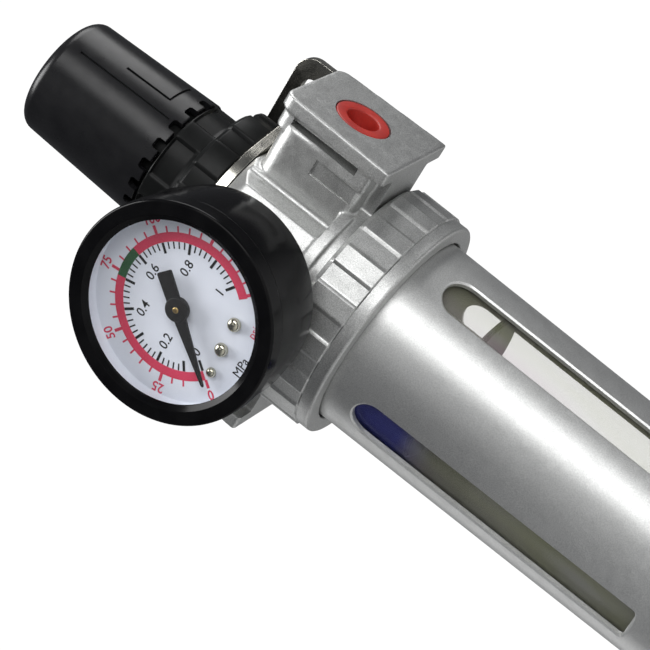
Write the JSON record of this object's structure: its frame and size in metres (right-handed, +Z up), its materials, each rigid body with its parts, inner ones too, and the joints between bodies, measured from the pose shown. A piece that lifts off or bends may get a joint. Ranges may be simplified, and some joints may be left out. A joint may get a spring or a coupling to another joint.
{
  "type": "air filter regulator",
  "caption": "Modular compressed-air filter regulator: ported body with pull-to-turn pressure knob, dial gauge, slotted metal bowl guard over a clear bowl with manual drain, and wall bracket.",
  "frame": {"origin": "centre of the mounting bracket's wall face, midway between its two slots", "axes": "+Y out of the wall face towards the wall, +Z up the main axis towards the knob, +X towards the air outlet; the gauge faces -Y"},
  "size_m": [0.079, 0.0882, 0.2318],
  "materials": {
    "silver_paint": "satin silver paint",
    "cast_silver": "painted casting, fine grain",
    "black_plastic": "satin black moulding",
    "pointer_black": "black paint",
    "dark_plastic": "matt dark grey moulding",
    "red_plastic": "satin red moulding",
    "plated_steel": "bright nickel plate",
    "steel": "machined",
    "spring_steel": "drawn wire",
    "brass": "machined",
    "rubber": "moulded",
    "filter_white": "sintered",
    "blue_plastic": "moulded",
    "clear_bowl": "clear moulding",
    "clear_lens": "clear moulding",
    "dial_white": "printed white dial",
    "seal_tape": "thread seal"
  },
  "bodies": {
    "frame": {"body": "cast_silver", "mounting_bracket": "plated_steel", "ring_nut": "dark_plastic", "bonnet": "dark_plastic", "thrust_washer": "brass", "diaphragm": "rubber", "valve_guide": "brass", "valve_spring": "spring_steel", "main_spring": "spring_steel", "filter_stud": "brass", "swirl_deflector": "blue_plastic", "filter_element": "filter_white", "baffle": "black_plastic", "bowl_o_ring": "rubber", "rear_gauge_port_plug": "steel", "gauge_socket": "brass", "gauge_port_seal": "seal_tape", "gauge_case": "black_plastic", "gauge_bezel": "black_plastic", "gauge_lens": "clear_lens", "gauge_dial": "dial_white", "dial_screw_1": "steel", "dial_screw_2": "steel", "pointer_stop_pin": "steel", "movement_frame": "brass", "bourdon_tube": "brass"},
    "setting_screw": {"adjusting_screw": "steel"},
    "knob": {"adjusting_knob": "black_plastic"},
    "spring_nut": {"spring_nut": "brass"},
    "diaphragm_centre": {"diaphragm_plate": "steel", "relief_seat": "brass"},
    "valve": {"valve": "brass", "valve_seal": "rubber"},
    "pointer": {"pointer": "pointer_black"},
    "sector": {"sector_gear": "brass"},
    "bowl_unit": {"bowl": "clear_bowl", "bowl_guard": "silver_paint", "drain_body": "brass", "drain_nut": "brass", "drain_o_ring": "rubber"},
    "collar": {"collar": "cast_silver"},
    "drain_needle": {"drain_needle": "steel"},
    "drain_knob": {"drain_knob": "black_plastic"},
    "outlet_plug": {"outlet_port_plug": "red_plastic"},
    "inlet_plug": {"inlet_port_plug": "red_plastic"}
  },
  "joints": [
    {"name": "knob_turn", "type": "hinge", "parent": "frame", "child": "setting_screw", "pos_m": [0, -0.03, 0.0359], "axis": [0, 0, -1], "range_deg": [0, 2160]},
    {"name": "knob_pull", "type": "slide", "parent": "setting_screw", "child": "knob", "axis": [0, 0, 1], "range_m": [0, 0.003]},
    {"name": "nut_travel", "type": "slide", "parent": "frame", "child": "spring_nut", "axis": [0, 0, -1], "range_m": [0, 0.009], "deforming": ["main_spring"]},
    {"name": "valve_lift", "type": "slide", "parent": "frame", "child": "valve", "axis": [0, 0, -1], "range_m": [0, 0.0012], "stiffness_N_per_m": 1500, "springref_m": -0.001, "deforming": ["valve_spring"]},
    {"name": "diaphragm_travel", "type": "slide", "parent": "frame", "child": "diaphragm_centre", "axis": [0, 0, -1], "range_m": [0, 0.0012], "deforming": ["diaphragm"]},
    {"name": "pointer_turn", "type": "hinge", "parent": "frame", "child": "pointer", "pos_m": [0, -0.075, -0.02276], "axis": [0, 1, 0], "range_deg": [0, 270]},
    {"name": "sector_turn", "type": "hinge", "parent": "frame", "child": "sector", "pos_m": [0, -0.075, -0.03176], "axis": [0, 1, 0], "range_deg": [-47.4, 0], "stiffness_Nm_per_rad": 0.01, "springref_deg": 5.73},
    {"name": "bowl_pull", "type": "slide", "parent": "frame", "child": "bowl_unit", "axis": [0, 0, -1], "range_m": [0, 0.07]},
    {"name": "collar_turn", "type": "hinge", "parent": "bowl_unit", "child": "collar", "pos_m": [0, -0.03, -0.0471], "axis": [0, 0, -1], "range_deg": [0, 1080]},
    {"name": "drain_lift", "type": "slide", "parent": "bowl_unit", "child": "drain_needle", "axis": [0, 0, -1], "range_m": [0, 0.0015]},
    {"name": "drain_turn", "type": "hinge", "parent": "drain_needle", "child": "drain_knob", "pos_m": [0, -0.03, -0.1721], "axis": [0, 0, 1], "range_deg": [0, 90]},
    {"name": "outlet_plug_pull", "type": "slide", "parent": "frame", "child": "outlet_plug", "axis": [1, 0, 0], "range_m": [0, 0.014]},
    {"name": "inlet_plug_pull", "type": "slide", "parent": "frame", "child": "inlet_plug", "axis": [-1, 0, 0], "range_m": [0, 0.014]}
  ],
  "couplings": [
    {"joint": "nut_travel", "follows": "knob_turn", "m_per_rad": 0.00023873},
    {"joint": "diaphragm_travel", "follows": "valve_lift", "ratio": 1},
    {"joint": "pointer_turn", "follows": "sector_turn", "ratio": -5.69},
    {"joint": "drain_lift", "follows": "drain_turn", "m_per_rad": 0.00095398}
  ]
}
